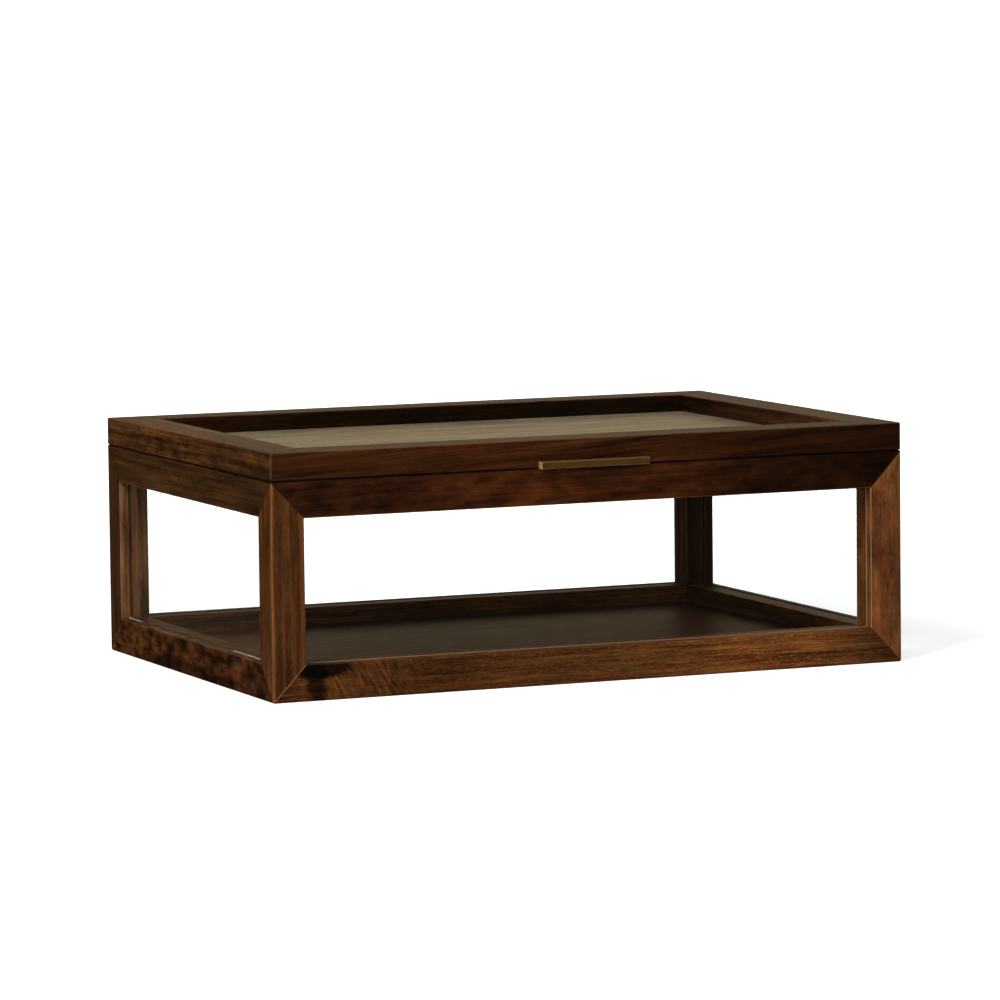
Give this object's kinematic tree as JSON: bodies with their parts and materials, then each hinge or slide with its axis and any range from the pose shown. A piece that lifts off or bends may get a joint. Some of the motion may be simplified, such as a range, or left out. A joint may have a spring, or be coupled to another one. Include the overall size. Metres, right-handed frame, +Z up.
{
  "type": "tabletop display cabinet",
  "caption": "Low glazed hardwood display case with a board floor and a rear-hinged lid, sunk on top to serve as a tray and opened by a brass bar pull.",
  "frame": {"origin": "centre of the outer box at the underside of the bottom rails, with the pull in front and the hinge barrels behind counted in", "axes": "+X along the width towards the right side as seen from the front, -Y towards the front with the pull, +Z up"},
  "size_m": [0.42, 0.302, 0.15],
  "materials": {
    "case_wood": "satin oiled dark hardwood",
    "lid_wood": "satin oiled dark hardwood",
    "board_wood": "satin dark hardwood board",
    "dowel_wood": "plain pale hardwood",
    "glass": "clear float glass",
    "brass": "brushed, slightly aged",
    "pin_brass": "drawn bar",
    "screw_brass": "turned",
    "bumper": "matt, soft"
  },
  "bodies": {
    "case": {"post_front_left": "case_wood", "post_front_right": "case_wood", "post_rear_left": "case_wood", "post_rear_right": "case_wood", "top_rail_front": "case_wood", "top_rail_rear": "case_wood", "top_rail_left": "case_wood", "top_rail_right": "case_wood", "bottom_rail_front": "case_wood", "bottom_rail_rear": "case_wood", "bottom_rail_left": "case_wood", "bottom_rail_right": "case_wood", "floor_panel": "board_wood", "glass_front": "glass", "glass_rear": "glass", "glass_left": "glass", "glass_right": "glass", "case_corner_dowels": "dowel_wood", "lid_bumpers": "bumper", "case_hinge_leaf_left": "brass", "case_hinge_leaf_right": "brass", "hinge_pin_left": "pin_brass", "hinge_pin_right": "pin_brass", "case_hinge_screws": "screw_brass"},
    "lid": {"lid_rail_front": "lid_wood", "lid_rail_rear": "lid_wood", "lid_rail_left": "lid_wood", "lid_rail_right": "lid_wood", "lid_panel": "board_wood", "lid_corner_dowels": "dowel_wood", "lid_hinge_leaf_left": "brass", "lid_hinge_leaf_right": "brass", "lid_hinge_screws": "screw_brass", "pull": "brass", "pull_screws": "screw_brass"}
  },
  "joints": [
    {"name": "lid_hinge", "type": "hinge", "parent": "case", "child": "lid", "pos_m": [0, 0.1484, 0.13275], "axis": [-1, 0, 0], "range_deg": [0, 95]}
  ]
}
